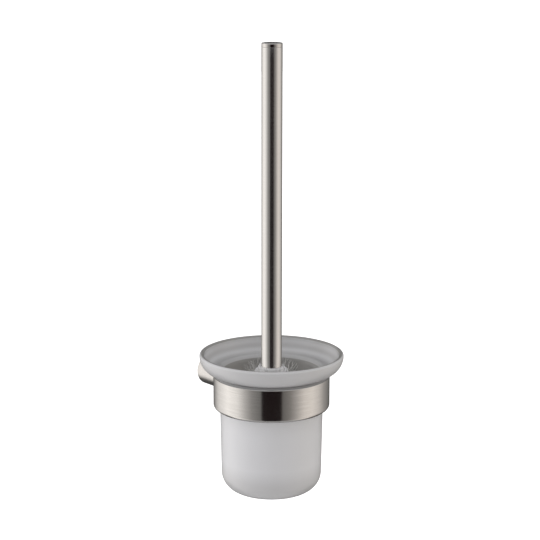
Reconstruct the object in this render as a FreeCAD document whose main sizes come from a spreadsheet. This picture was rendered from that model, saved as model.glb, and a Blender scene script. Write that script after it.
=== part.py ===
"""Wall-mounted toilet brush holder: a frosted glass cup hung in a steel ring, with its brush.

Millimetres, +Z up. The origin is the centre of the post's end on the wall: the wall is the plane
Y = 0, the holder stands out towards -Y, and the cup's axis is vertical at X = 0,
Y = -Sizes.wall_to_axis. Threads are plain cylinders with a small gap between screw and hole.
"""

import math
import os

import FreeCAD
import Part
import Sketcher

os.makedirs("parts", exist_ok=True)
doc = FreeCAD.newDocument("ToiletBrushHolder")

# ---------------------------------------------------------------- driving sizes

SIZES = {
    # post and wall fixing
    "wall_to_axis": 90.0,
    "post_d": 27.5,
    "post_bore_d": 20.7,
    "post_bore_depth": 16.0,
    "boss_d": 20.6,
    "boss_length": 14.0,
    "wall_hole_d": 4.4,
    "wall_hole_spacing": 11.0,
    "countersink": 1.7,
    "grub_d": 4.0,
    "grub_length": 3.0,
    "grub_from_wall": 7.0,
    "grub_bottom": 12.3,
    "grub_seat": 9.2,
    "hex_small": 2.0,
    "thread_gap": 0.02,
    # ring band and its two screws
    "band_d": 102.4,
    "band_height": 29.2,
    "band_drop": 15.0,
    "band_wall": 1.5,
    "band_roll": 3.3,
    "band_lip_d": 92.8,
    "band_edge": 0.4,
    "ring_screw_d": 4.0,
    "ring_screw_length": 11.0,
    "ring_screw_head_d": 7.0,
    "ring_screw_head": 2.0,
    "ring_screw_spacing": 15.0,
    "ring_screw_lift": 0.15,
    "hex_large": 2.5,
    # seat ring between band and glass
    "seat_wall": 1.0,
    "seat_skirt": 2.8,
    "seat_bead": 2.05,
    "seat_round": 0.5,
    "seat_gap": 0.05,
    "seat_overhang": 0.9,
    # glass cup
    "cup_base_drop": 91.0,
    "rim_d": 126.6,
    "rim_height": 123.0,
    "glass_wall": 4.0,
    "glass_floor": 6.0,
    "flare_radius": 15.3,
    "neck_fillet": 2.1,
    "cup_foot_d": 88.4,
    "cup_corner": 17.0,
    "cup_corner_inner": 13.0,
    # handle
    "tube_d": 18.0,
    "tube_wall": 0.8,
    "tube_foot": 22.2,
    "tube_length": 278.5,
    "cap_disc": 3.5,
    "cap_edge": 0.8,
    "cap_seam": 0.3,
    "cap_spigot": 10.0,
    "plug_gap": 0.05,
    "insert_length": 20.0,
    "stud_d": 8.0,
    "stud_length": 58.0,
    "stud_drop": 18.0,
    "stud_chamfer": 0.8,
    # brush head
    "core_d": 28.0,
    "core_drop": 72.0,
    "collar_d": 29.8,
    "collar_base": 16.5,
    "collar_top": 19.0,
    "collar_edge": 1.2,
    "seat_tier_d": 24.0,
    "seat_tier_top": 22.1,
    "seat_tier_edge": 1.4,
    "fin_foot": 20.5,
    "fin_top": 25.0,
    "fin_outer": 2.6,
    "fin_tip_start": 0.5,
    "fin_tip_end": 1.0,
    "fin_thickness": 1.6,
    "fin_gap": 0.25,
    "fin_count": 2,
    "brush_turn": -40.0,
    # bristles, as the soft space that each row of tufts fills
    "head_d": 75.0,
    "bristle_gap": 0.15,
    "row_first": 62.0,
    "row_pitch": 9.7,
    "row_root": 6.0,
    "row_face": 8.0,
    "row_rise": 1.2,
    "tip_drop": 84.4,
    "tip_flat_d": 44.0,
    "tip_corner": 14.0,
    "tip_root": 66.5,
    "crown_root": 12.5,
    "crown_reach_d": 50.0,
    "crown_reach": 22.5,
    "crown_peak_d": 40.0,
    "crown_peak": 25.5,
    "crown_inner": 16.0,
    "crown_gap": 0.4,
}
BRISTLE_ROWS = 8

sheet = doc.addObject("Spreadsheet::Sheet", "Sizes")
for row, (alias, value) in enumerate(SIZES.items(), start=1):
    sheet.set(f"A{row}", alias)
    sheet.set(f"B{row}", str(value))
    sheet.setAlias(f"B{row}", alias)
doc.recompute()

# ---------------------------------------------------------------- shared helpers

NODES = []


def size(expression):
    """The value of an expression of the sheet's cells, in mm."""
    result = sheet.evalExpression(expression)
    return float(getattr(result, "Value", result))


def node(piece, label):
    """Names a finished piece and lists it for export."""
    piece.Label = label
    NODES.append(piece)
    return piece


def move(piece, x="0", y="0", z="0"):
    """Binds a piece's position to the sheet."""
    piece.setExpression(".Placement.Base.x", x)
    piece.setExpression(".Placement.Base.y", y)
    piece.setExpression(".Placement.Base.z", z)


def new_body(name):
    """An empty PartDesign body."""
    return doc.addObject("PartDesign::Body", name)


def origin_item(body, role):
    """One of the body's own origin planes or axes."""
    return next(item for item in body.Origin.OriginFeatures if item.Role == role)


def sketch_on(body, role, name, offset="0"):
    """A sketch on an origin plane, moved along the plane's normal by offset."""
    sketch = body.newObject("Sketcher::SketchObject", name)
    sketch.AttachmentSupport = [(origin_item(body, role), "")]
    sketch.MapMode = "FlatFace"
    sketch.setExpression(".AttachmentOffset.Base.z", offset)
    return sketch


def bind(sketch, kind, geometry, expression, value):
    """Adds a sketch dimension and ties it to the sheet."""
    index = sketch.addConstraint(Sketcher.Constraint(kind, *geometry, value))
    sketch.setExpression(f"Constraints[{index}]", expression)


def pin_point(sketch, edge, end, across, up):
    """Fixes a sketch point at two expressions measured from the sketch's origin."""
    for kind, axis, expression in (("DistanceX", -2, across), ("DistanceY", -1, up)):
        value = size(expression)
        if value == 0:
            sketch.addConstraint(Sketcher.Constraint("PointOnObject", edge, end, axis))
        else:
            bind(sketch, kind, (-1, 1, edge, end), expression, value)


def arc_between(start, end, radius, side):
    """The minor arc from start to end, its centre on the left or right of the way along."""
    chord = end - start
    half = chord.Length / 2
    rise = math.sqrt(max(radius * radius - half * half, 0.0))
    left = FreeCAD.Vector(-chord.y, chord.x, 0).normalize()
    centre = (start + end) / 2 + left * (rise if side == "left" else -rise)
    first, last = (start, end) if side == "left" else (end, start)
    angles = [math.atan2(point.y - centre.y, point.x - centre.x) for point in (first, last)]
    circle = Part.Circle(centre, FreeCAD.Vector(0, 0, 1), radius)
    return Part.ArcOfCircle(circle, *angles)


def outline(sketch, corners):
    """Draws a closed outline from corners of expressions.

    A corner is (across, up) for a straight edge to the next corner, or
    (across, up, radius, side) for an arc to it.
    """
    points = [FreeCAD.Vector(size(corner[0]), size(corner[1]), 0) for corner in corners]
    ends = []
    for index, corner in enumerate(corners):
        start, end = points[index], points[(index + 1) % len(points)]
        if len(corner) == 4:
            edge = sketch.addGeometry(arc_between(start, end, size(corner[2]), corner[3]))
            ends.append((edge, 1, 2) if corner[3] == "left" else (edge, 2, 1))
        else:
            edge = sketch.addGeometry(Part.LineSegment(start, end))
            ends.append((edge, 1, 2))
    for index, (edge, first, last) in enumerate(ends):
        following, start = ends[(index + 1) % len(ends)][:2]
        sketch.addConstraint(Sketcher.Constraint("Coincident", edge, last, following, start))
    for corner, (edge, first, last) in zip(corners, ends):
        pin_point(sketch, edge, first, corner[0], corner[1])
        if len(corner) == 4:
            bind(sketch, "Radius", (edge,), corner[2], size(corner[2]))


def circle(sketch, across, up, radius):
    """A circle with its centre and radius bound to expressions."""
    centre = FreeCAD.Vector(size(across), size(up), 0)
    edge = sketch.addGeometry(Part.Circle(centre, FreeCAD.Vector(0, 0, 1), size(radius)))
    pin_point(sketch, edge, 3, across, up)
    bind(sketch, "Radius", (edge,), radius, size(radius))


def turned(name, corners, base):
    """A body turned about the cup's axis; heights in the outline start at base."""
    body = new_body(name)
    sketch = sketch_on(body, "XZ_Plane", f"{name}_section")
    outline(sketch, corners)
    lathe = body.newObject("PartDesign::Revolution", f"{name}_turned")
    lathe.Profile = sketch
    lathe.ReferenceAxis = (sketch, ["V_Axis"])
    lathe.Angle = 360
    sketch.Visibility = False
    move(body, y="-Sizes.wall_to_axis", z=base)
    return node(body, name)


def pad(body, sketch, name, length, midplane=False):
    """A sketch pushed out to a length."""
    extrusion = body.newObject("PartDesign::Pad", name)
    extrusion.Profile = sketch
    extrusion.SideType = "Symmetric" if midplane else "One side"
    extrusion.setExpression("Length", length)
    return extrusion


def pocket(body, sketch, name, length, reverse=False, midplane=False):
    """A cut that has to take material away."""
    doc.recompute()
    before = body.Shape.Volume
    cut = body.newObject("PartDesign::Pocket", name)
    cut.Profile = sketch
    cut.SideType = "Symmetric" if midplane else "One side"
    cut.Reversed = reverse
    cut.setExpression("Length", length)
    doc.recompute()
    if body.Shape.Volume >= before - 1e-6:
        raise RuntimeError(f"{name} cuts nothing")
    return cut


# ---------------------------------------------------------------- wall fixing and post

HALF_SPACING = "Sizes.wall_hole_spacing / 2"
GRUB_HOLE = "Sizes.grub_d / 2 + Sizes.thread_gap"
BAND_R = "Sizes.band_d / 2"


def make_wall_boss():
    """Round boss screwed to the wall, with two countersunk holes and a seat for the grub screw."""
    body = new_body("wall_boss")
    disc = sketch_on(body, "XZ_Plane", "boss_disc")
    circle(disc, "0", "0", "Sizes.boss_d / 2")
    pad(body, disc, "boss_pad", "Sizes.boss_length")
    holes = sketch_on(body, "XZ_Plane", "boss_holes")
    for up in (HALF_SPACING, f"-{HALF_SPACING}"):
        circle(holes, "0", up, "Sizes.wall_hole_d / 2")
    pocket(body, holes, "boss_wall_holes", "Sizes.boss_length", reverse=True)
    dimple = sketch_on(body, "XY_Plane", "boss_dimple", "-Sizes.grub_seat")
    circle(dimple, "0", "-Sizes.grub_from_wall", "Sizes.grub_d / 2 + 3 * Sizes.thread_gap")
    pocket(body, dimple, "boss_grub_seat", "Sizes.boss_d / 2")
    drilled = body.Tip
    front = -size("Sizes.boss_length")
    rims = [
        f"Edge{index}"
        for index, edge in enumerate(drilled.Shape.Edges, start=1)
        if isinstance(edge.Curve, Part.Circle)
        and abs(edge.Curve.Radius - size("Sizes.wall_hole_d / 2")) < 1e-4
        and abs(edge.Curve.Center.y - front) < 1e-4
    ]
    countersinks = body.newObject("PartDesign::Chamfer", "boss_countersinks")
    countersinks.Base = (drilled, rims)
    countersinks.setExpression("Size", "Sizes.countersink")
    body.Tip = countersinks
    return node(body, "wall_boss")


def make_post():
    """Round post: a socket for the boss at the wall, a saddle that fits the band at the front."""
    body = new_body("post")
    bar = sketch_on(body, "XZ_Plane", "post_bar")
    circle(bar, "0", "0", "Sizes.post_d / 2")
    pad(body, bar, "post_pad", "Sizes.wall_to_axis / 2")
    socket = sketch_on(body, "XZ_Plane", "post_socket")
    circle(socket, "0", "0", "Sizes.post_bore_d / 2")
    pocket(body, socket, "post_bore", "Sizes.post_bore_depth", reverse=True)
    saddle = sketch_on(body, "XY_Plane", "post_saddle")
    circle(saddle, "0", "-Sizes.wall_to_axis", BAND_R)
    pocket(body, saddle, "post_saddle_cut", "2 * Sizes.post_d", midplane=True)
    tapped = sketch_on(body, "XZ_Plane", "post_tapped", "Sizes.wall_to_axis / 2")
    for sign in ("", "-"):
        up = f"{sign}Sizes.ring_screw_spacing / 2"
        circle(tapped, "0", up, "Sizes.ring_screw_d / 2 + Sizes.thread_gap")
    depth = f"Sizes.ring_screw_length + {BAND_R} - Sizes.wall_to_axis / 2"
    pocket(body, tapped, "post_tapped_holes", depth)
    grub = sketch_on(body, "XY_Plane", "post_grub")
    circle(grub, "0", "-Sizes.grub_from_wall", GRUB_HOLE)
    pocket(body, grub, "post_grub_hole", "Sizes.post_d")
    return node(body, "post")


def hexagon(name, across_flats, length):
    """A hexagonal key socket."""
    prism = doc.addObject("Part::Prism", name)
    prism.Polygon = 6
    prism.setExpression("Circumradius", f"{across_flats} / 2 / cos(30 deg)")
    prism.setExpression("Height", length)
    return prism


def make_grub_screw():
    """Set screw that holds the post on the boss, turned from below."""
    thread = doc.addObject("Part::Cylinder", "grub_thread")
    thread.setExpression("Radius", "Sizes.grub_d / 2")
    thread.setExpression("Height", "Sizes.grub_length")
    screw = doc.addObject("Part::Cut", "grub_cut")
    screw.Base = thread
    screw.Tool = hexagon("grub_socket", "Sizes.hex_small", "Sizes.grub_length / 2")
    move(screw, y="-Sizes.grub_from_wall", z="-Sizes.grub_bottom")
    return node(screw, "grub_screw")


def ring_screw(name, up):
    """One socket screw, its head inside the band and its thread in the post."""
    shank = doc.addObject("Part::Cylinder", f"{name}_shank")
    shank.setExpression("Radius", "Sizes.ring_screw_d / 2")
    shank.setExpression("Height", "Sizes.ring_screw_length + Sizes.ring_screw_head")
    head = doc.addObject("Part::Cylinder", f"{name}_head")
    head.setExpression("Radius", "Sizes.ring_screw_head_d / 2")
    head.setExpression("Height", "Sizes.ring_screw_head")
    blank = doc.addObject("Part::Fuse", f"{name}_blank")
    blank.Base = shank
    blank.Tool = head
    screw = doc.addObject("Part::Cut", name)
    screw.Base = blank
    screw.Tool = hexagon(f"{name}_socket", "Sizes.hex_large", "Sizes.ring_screw_head * 0.7")
    screw.Placement.Rotation = FreeCAD.Rotation(FreeCAD.Vector(1, 0, 0), -90)
    inside = f"{BAND_R} - Sizes.band_wall - Sizes.ring_screw_lift - Sizes.ring_screw_head"
    move(screw, y=f"{inside} - Sizes.wall_to_axis", z=up)
    return screw


def make_ring_screws():
    """The two screws that hold the band on the post, one above the other."""
    pair = doc.addObject("Part::Compound", "ring_screw_pair")
    pair.Links = [
        ring_screw("ring_screw_upper", "Sizes.ring_screw_spacing / 2"),
        ring_screw("ring_screw_lower", "-Sizes.ring_screw_spacing / 2"),
    ]
    return node(pair, "ring_screws")


# ---------------------------------------------------------------- ring and seat

BAND_INNER = f"{BAND_R} - Sizes.band_wall"
ROLL_CENTRE = f"{BAND_R} - Sizes.band_roll"


def make_ring_band():
    """Deep steel band whose lower edge rolls in to a short lip, with the two screw holes."""
    body = turned(
        "ring_band",
        [
            ("Sizes.band_lip_d / 2", "0"),
            (ROLL_CENTRE, "0", "Sizes.band_roll", "left"),
            (BAND_R, "Sizes.band_roll"),
            (BAND_R, "Sizes.band_height - Sizes.band_edge", "Sizes.band_edge", "left"),
            (f"{BAND_R} - Sizes.band_edge", "Sizes.band_height"),
            (BAND_INNER, "Sizes.band_height"),
            (BAND_INNER, "Sizes.band_roll", "Sizes.band_roll - Sizes.band_wall", "right"),
            (ROLL_CENTRE, "Sizes.band_wall"),
            ("Sizes.band_lip_d / 2", "Sizes.band_wall"),
        ],
        "-Sizes.band_drop",
    )
    holes = sketch_on(body, "XZ_Plane", "band_holes")
    for sign in ("+", "-"):
        up = f"Sizes.band_drop {sign} Sizes.ring_screw_spacing / 2"
        circle(holes, "0", up, "Sizes.ring_screw_d / 2 + 5 * Sizes.thread_gap")
    pocket(body, holes, "band_screw_holes", "Sizes.band_d")
    return body


def make_seat_ring():
    """Soft clear ring over the band's top edge, where the glass rests."""
    outer = f"{BAND_INNER} - Sizes.seat_gap"
    inner = f"{outer} - Sizes.seat_wall"
    over = f"{outer} + Sizes.seat_overhang"
    top = "Sizes.seat_skirt + Sizes.seat_bead"
    return turned(
        "seat_ring",
        [
            (inner, "0"),
            (outer, "0"),
            (outer, "Sizes.seat_skirt + Sizes.seat_gap"),
            (over, "Sizes.seat_skirt + Sizes.seat_gap"),
            (over, f"{top} - Sizes.seat_round", "Sizes.seat_round", "left"),
            (f"{over} - Sizes.seat_round", top),
            (inner, top),
        ],
        "Sizes.band_height - Sizes.band_drop - Sizes.seat_skirt",
    )


# ---------------------------------------------------------------- glass cup


def make_glass_cup():
    """Thick frosted glass: a tumbler with a rounded foot and a wide flared bowl for a rim."""
    rim = "Sizes.rim_d / 2"
    rim_inner = f"{rim} - Sizes.glass_wall"
    edge = "Sizes.glass_wall / 2"
    flare = f"{rim} - Sizes.flare_radius"
    flare_inner = "Sizes.flare_radius - Sizes.glass_wall"
    neck = f"{flare} - Sizes.neck_fillet"
    neck_inner = f"{neck} - Sizes.glass_wall"
    neck_height = "Sizes.rim_height - Sizes.flare_radius - Sizes.neck_fillet"
    foot = "Sizes.cup_foot_d / 2"
    foot_inner = f"{foot} - Sizes.glass_wall"
    floor_corner = "Sizes.glass_floor + Sizes.cup_corner_inner"
    return turned(
        "glass_cup",
        [
            ("0", "0"),
            (f"{foot} - Sizes.cup_corner", "0", "Sizes.cup_corner", "left"),
            (foot, "Sizes.cup_corner"),
            (neck, neck_height, "Sizes.neck_fillet", "right"),
            (flare, f"{neck_height} + Sizes.neck_fillet", "Sizes.flare_radius", "left"),
            (rim, "Sizes.rim_height", edge, "left"),
            (f"{rim} - {edge}", f"Sizes.rim_height + {edge}", edge, "left"),
            (rim_inner, "Sizes.rim_height", flare_inner, "right"),
            (
                flare,
                f"Sizes.rim_height - ({flare_inner})",
                "Sizes.neck_fillet + Sizes.glass_wall",
                "left",
            ),
            (neck_inner, neck_height),
            (foot_inner, floor_corner, "Sizes.cup_corner_inner", "right"),
            (f"{foot_inner} - Sizes.cup_corner_inner", "Sizes.glass_floor"),
            ("0", "Sizes.glass_floor"),
        ],
        "-Sizes.cup_base_drop",
    )


# ---------------------------------------------------------------- handle

TUBE_R = "Sizes.tube_d / 2"
PLUG_R = f"{TUBE_R} - Sizes.tube_wall - Sizes.plug_gap"
STUD_HOLE = "Sizes.stud_d / 2 + Sizes.thread_gap"


def make_handle_tube():
    """Long plain steel tube."""
    bore = f"{TUBE_R} - Sizes.tube_wall"
    return turned(
        "handle_tube",
        [(bore, "0"), (TUBE_R, "0"), (TUBE_R, "Sizes.tube_length"), (bore, "Sizes.tube_length")],
        "Sizes.tube_foot",
    )


def make_handle_end_cap():
    """Flat steel button closing the tube's top, on a spigot inside the tube."""
    top = "Sizes.cap_spigot + Sizes.cap_disc"
    return turned(
        "handle_end_cap",
        [
            ("0", "0"),
            (f"{PLUG_R} - Sizes.cap_edge", "0"),
            (PLUG_R, "Sizes.cap_edge"),
            (PLUG_R, "Sizes.cap_spigot"),
            (f"{TUBE_R} - Sizes.cap_seam", "Sizes.cap_spigot"),
            (TUBE_R, "Sizes.cap_spigot + Sizes.cap_seam"),
            (TUBE_R, f"{top} - Sizes.cap_edge", "Sizes.cap_edge", "left"),
            (f"{TUBE_R} - Sizes.cap_edge", top),
            ("0", top),
        ],
        "Sizes.tube_foot + Sizes.tube_length - Sizes.cap_spigot",
    )


def make_handle_insert():
    """Threaded bush pressed into the tube's foot."""
    return turned(
        "handle_insert",
        [
            (STUD_HOLE, "0"),
            (PLUG_R, "0"),
            (PLUG_R, "Sizes.insert_length"),
            (STUD_HOLE, "Sizes.insert_length"),
        ],
        "Sizes.tube_foot",
    )


def make_head_stud():
    """Threaded stud moulded into the brush core, which screws into the handle."""
    stud = "Sizes.stud_d / 2"
    end = f"{stud} - Sizes.stud_chamfer"
    return turned(
        "head_stud",
        [
            ("0", "0"),
            (end, "0"),
            (stud, "Sizes.stud_chamfer"),
            (stud, "Sizes.stud_length - Sizes.stud_chamfer"),
            (end, "Sizes.stud_length"),
            ("0", "Sizes.stud_length"),
        ],
        "-Sizes.stud_drop",
    )


# ---------------------------------------------------------------- brush head

CORE_R = "Sizes.core_d / 2"


def make_brush_core():
    """Moulded core: a round-ended rod, a two-step collar, and a pair of fins at the tube's foot."""
    collar = "Sizes.collar_d / 2"
    collar_top = "Sizes.core_drop + Sizes.collar_top"
    tier = "Sizes.seat_tier_d / 2"
    tier_top = "Sizes.core_drop + Sizes.seat_tier_top"
    hole_end = "Sizes.core_drop - Sizes.stud_drop - Sizes.plug_gap"
    body = turned(
        "brush_core",
        [
            ("0", "0", CORE_R, "left"),
            (CORE_R, CORE_R),
            (CORE_R, f"Sizes.core_drop + Sizes.collar_base - {collar} + {CORE_R}"),
            (collar, "Sizes.core_drop + Sizes.collar_base"),
            (collar, f"{collar_top} - Sizes.collar_edge", "Sizes.collar_edge", "left"),
            (f"{collar} - Sizes.collar_edge", collar_top),
            (tier, collar_top),
            (tier, f"{tier_top} - Sizes.seat_tier_edge", "Sizes.seat_tier_edge", "left"),
            (f"{tier} - Sizes.seat_tier_edge", tier_top),
            (STUD_HOLE, tier_top),
            (STUD_HOLE, hole_end),
            ("0", hole_end),
        ],
        "-Sizes.core_drop",
    )
    fin_sketch = sketch_on(body, "XZ_Plane", "fin_section")
    fin_start = f"{TUBE_R} + Sizes.fin_gap"
    outline(
        fin_sketch,
        [
            (fin_start, "Sizes.core_drop + Sizes.fin_foot"),
            (f"{fin_start} + Sizes.fin_outer", "Sizes.core_drop + Sizes.fin_foot"),
            (f"{fin_start} + Sizes.fin_tip_end", "Sizes.core_drop + Sizes.fin_top"),
            (f"{fin_start} + Sizes.fin_tip_start", "Sizes.core_drop + Sizes.fin_top"),
        ],
    )
    fin = pad(body, fin_sketch, "fin", "Sizes.fin_thickness", midplane=True)
    pair = body.newObject("PartDesign::PolarPattern", "fin_pair")
    pair.Originals = [fin]
    pair.Axis = (origin_item(body, "Z_Axis"), [""])
    pair.Angle = 360
    pair.setExpression("Occurrences", "Sizes.fin_count")
    body.Tip = pair
    body.Placement.Rotation = FreeCAD.Rotation(FreeCAD.Vector(0, 0, 1), size("Sizes.brush_turn"))
    return body


ROOT_R = f"{CORE_R} + Sizes.bristle_gap"
HEAD_R = "Sizes.head_d / 2"


def make_bristle_row(number):
    """The ring that one row of tufts fills, a little higher at its tips than at its roots."""
    low = f"(Sizes.row_face - Sizes.row_root) / 2 - Sizes.row_rise"
    return turned(
        f"bristle_row_{number}",
        [
            (ROOT_R, low),
            (HEAD_R, "0"),
            (HEAD_R, "Sizes.row_face"),
            (ROOT_R, f"{low} + Sizes.row_root"),
        ],
        f"Sizes.row_pitch * {number - 1} - Sizes.row_first - Sizes.row_face / 2",
    )


def make_bristle_tip():
    """The rounded bottom of the head, standing on the cup's floor."""
    ball = ROOT_R
    drop = "Sizes.tip_root - Sizes.core_drop + Sizes.core_d / 2"
    mouth = f"sqrt(({ball}) ^ 2 - ({drop}) ^ 2)"
    return turned(
        "bristle_tip",
        [
            ("0", "0"),
            ("Sizes.tip_flat_d / 2", "0", "Sizes.tip_corner", "left"),
            ("Sizes.tip_flat_d / 2 + Sizes.tip_corner", "Sizes.tip_corner"),
            (mouth, "Sizes.tip_drop - Sizes.tip_root", ball, "right"),
            ("0", "Sizes.tip_drop - Sizes.core_drop - Sizes.bristle_gap"),
        ],
        "-Sizes.tip_drop",
    )


def make_bristle_crown():
    """The top row of tufts, which leans up and out around the collar."""
    return turned(
        "bristle_crown",
        [
            (ROOT_R, "0"),
            ("Sizes.crown_reach_d / 2", "Sizes.crown_reach - Sizes.crown_root"),
            ("Sizes.crown_peak_d / 2", "Sizes.crown_peak - Sizes.crown_root"),
            ("Sizes.collar_d / 2 + Sizes.crown_gap", "Sizes.crown_inner - Sizes.crown_root"),
        ],
        "Sizes.crown_root",
    )


# ---------------------------------------------------------------- build, check, export

make_wall_boss()
make_post()
make_grub_screw()
make_ring_screws()
make_ring_band()
make_seat_ring()
make_glass_cup()
make_handle_tube()
make_handle_end_cap()
make_handle_insert()
make_head_stud()
make_brush_core()
make_bristle_crown()
for row_number in range(1, BRISTLE_ROWS + 1):
    make_bristle_row(row_number)
make_bristle_tip()
doc.recompute()

for item in doc.Objects:
    if "Invalid" in item.State or "Error" in item.State:
        raise RuntimeError(f"{item.Label} failed: {item.State}")

for piece in NODES:
    if piece.Shape.isNull() or not piece.Shape.isValid():
        raise RuntimeError(f"{piece.Label} has no valid shape")
    if not piece.Shape.Solids:
        raise RuntimeError(f"{piece.Label} has no solid")

for piece in NODES:
    piece.Shape.exportStep(f"parts/{piece.Label}.step")
    box = piece.Shape.BoundBox
    print(f"{piece.Label:16s} {len(piece.Shape.Solids)} solid  {piece.Shape.Volume:10.1f} mm3"
          f"  z {box.ZMin:7.1f} .. {box.ZMax:6.1f}")
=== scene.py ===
"""Looks of a wall-mounted toilet brush holder.

A frosted glass cup with a flared rim hangs in a brushed steel ring, which a round post holds off
the wall, and a brush with a long brushed steel tube for a handle stands in the cup. Metres, in
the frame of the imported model: +Z up, the wall at Y = 0, the cup's axis upright in front of it.
"""

import logging
import math
import random
from dataclasses import dataclass
from enum import Enum

import bmesh
import bpy
from mathutils import Matrix, Vector


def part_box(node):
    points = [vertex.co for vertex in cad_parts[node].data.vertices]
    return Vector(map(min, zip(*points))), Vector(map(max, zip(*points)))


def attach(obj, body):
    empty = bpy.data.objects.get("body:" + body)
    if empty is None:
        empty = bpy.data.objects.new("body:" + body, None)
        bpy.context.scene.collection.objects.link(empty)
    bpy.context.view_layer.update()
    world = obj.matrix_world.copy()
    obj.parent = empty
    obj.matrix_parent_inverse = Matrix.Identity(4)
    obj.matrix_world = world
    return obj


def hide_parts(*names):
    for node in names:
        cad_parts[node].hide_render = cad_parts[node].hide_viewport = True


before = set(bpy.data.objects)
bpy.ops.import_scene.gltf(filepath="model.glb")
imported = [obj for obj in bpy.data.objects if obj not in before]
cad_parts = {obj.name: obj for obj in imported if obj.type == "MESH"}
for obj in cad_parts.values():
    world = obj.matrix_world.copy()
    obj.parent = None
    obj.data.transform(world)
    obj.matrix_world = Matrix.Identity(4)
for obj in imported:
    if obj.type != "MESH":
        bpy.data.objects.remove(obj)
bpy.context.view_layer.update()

LOG = logging.getLogger("brush_holder")
MM = 0.001
FULL_TURN = math.tau
# Name of the glass's vertex tone of painted shade: 0 is none, 1 the full painted shade colour.
PAINTED_SHADE_TONE = "painted_shade_tone"
WHITE = (1.0, 1.0, 1.0)
UNIT = (1.0, 1.0, 1.0)
GRAIN_DEPTH = 0.05 * MM
GOLDEN_ANGLE = 2.39996
MERGE = 1e-7
QUARTER_TURN = 0.25

Socket = bpy.types.NodeSocket
Triple = tuple[float, float, float]
Tone = Triple


def cup_axis() -> Vector:
    """The point of the cup's upright axis at height 0."""
    low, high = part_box("ring_band")
    return Vector(((low.x + high.x) / 2, (low.y + high.y) / 2, 0.0))


def radius_of(node: str) -> float:
    """Half the width of a round CAD node."""
    low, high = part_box(node)
    return (high.x - low.x) / 2


# ------------------------------------------------------------------------------ materials


class Grain(Enum):
    """Which axis the brushing of a steel piece runs round."""

    CUP = "Z"
    POST = "Y"


class Recipe:
    """A material's node tree, with short calls for adding and joining nodes."""

    def __init__(self, name: str) -> None:
        """Starts a material that holds one Principled shader.

        Args:
            name: the material's name.
        """
        self.material = bpy.data.materials.new(name)
        self.material.use_nodes = True
        self.tree = self.material.node_tree
        self.shader = self.tree.nodes["Principled BSDF"]

    def node(self, kind: str, **settings: object) -> bpy.types.Node:
        """Adds a node.

        Args:
            kind: the node's type name.
            **settings: properties of the node.

        Returns:
            The new node.
        """
        made = self.tree.nodes.new(kind)
        for key, value in settings.items():
            setattr(made, key, value)
        return made

    def join(self, source: Socket, target: Socket) -> None:
        """Links an output to an input."""
        self.tree.links.new(source, target)

    def constant(self, **values: object) -> None:
        """Sets shader sockets by name, with underscores for spaces."""
        for key, value in values.items():
            self.shader.inputs[key.replace("_", " ")].default_value = value

    def place(self, centre: Vector, stretch: Triple) -> Socket:
        """Object coordinates measured from a centre and stretched.

        Args:
            centre: the point that becomes the pattern's origin.
            stretch: the pattern's scale along each axis, per metre.

        Returns:
            The vector socket.
        """
        coords = self.node("ShaderNodeTexCoord")
        mapping = self.node("ShaderNodeMapping")
        mapping.inputs["Location"].default_value = [-c * s for c, s in zip(centre, stretch)]
        mapping.inputs["Scale"].default_value = stretch
        self.join(coords.outputs["Object"], mapping.inputs["Vector"])
        return mapping.outputs["Vector"]

    def noise(
        self, vector: Socket, scale: float, detail: float = 3.0, rough: float = 0.5
    ) -> Socket:
        """A noise pattern.

        Args:
            vector: where the pattern is read.
            scale: how fine it is.
            detail: how many finer layers it has.
            rough: how strong the finer layers are.

        Returns:
            The value socket, from 0 to 1.
        """
        texture = self.node("ShaderNodeTexNoise")
        texture.inputs["Scale"].default_value = scale
        texture.inputs["Detail"].default_value = detail
        texture.inputs["Roughness"].default_value = rough
        self.join(vector, texture.inputs["Vector"])
        return texture.outputs["Fac"]

    def grain(self, scale: float, detail: float = 3.0, rough: float = 0.5) -> Socket:
        """A noise pattern that is even in every direction."""
        return self.noise(self.place(Vector(), UNIT), scale, detail, rough)

    def spread(
        self, value: Socket, low: float, high: float, start: float = 0.3, end: float = 0.7
    ) -> Socket:
        """Maps a value from one span to another.

        Args:
            value: the value to map.
            low: what start becomes.
            high: what end becomes.
            start: the low end of the value's span.
            end: the high end of the value's span.

        Returns:
            The mapped value.
        """
        span = self.node("ShaderNodeMapRange")
        span.inputs["From Min"].default_value = start
        span.inputs["From Max"].default_value = end
        span.inputs["To Min"].default_value = low
        span.inputs["To Max"].default_value = high
        self.join(value, span.inputs["Value"])
        return span.outputs["Result"]

    def blend_colours(self, share: Socket, first: Tone, second: Tone) -> Socket:
        """A colour between two.

        Args:
            share: from 0, all of the first, to 1, all of the second.
            first: one colour.
            second: the other.

        Returns:
            The colour socket.
        """
        mix = self.node("ShaderNodeMix", data_type="RGBA")
        mix.inputs["A"].default_value = (*first, 1.0)
        mix.inputs["B"].default_value = (*second, 1.0)
        self.join(share, mix.inputs["Factor"])
        return mix.outputs["Result"]

    def multiply(self, first: Socket, second: Socket) -> Socket:
        """Two colours multiplied.

        Args:
            first: one colour.
            second: the other.

        Returns:
            The colour socket.
        """
        mix = self.node("ShaderNodeMix", data_type="RGBA", blend_type="MULTIPLY")
        mix.inputs["Factor"].default_value = 1.0
        self.join(first, mix.inputs["A"])
        self.join(second, mix.inputs["B"])
        return mix.outputs["Result"]

    def bump(self, height: Socket, strength: float) -> None:
        """Gives the shader a bumpy normal.

        Args:
            height: the relief, from 0 to 1.
            strength: how much of the relief shows.
        """
        bump = self.node("ShaderNodeBump")
        bump.inputs["Strength"].default_value = strength
        bump.inputs["Distance"].default_value = GRAIN_DEPTH
        self.join(height, bump.inputs["Height"])
        self.join(bump.outputs["Normal"], self.shader.inputs["Normal"])


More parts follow.
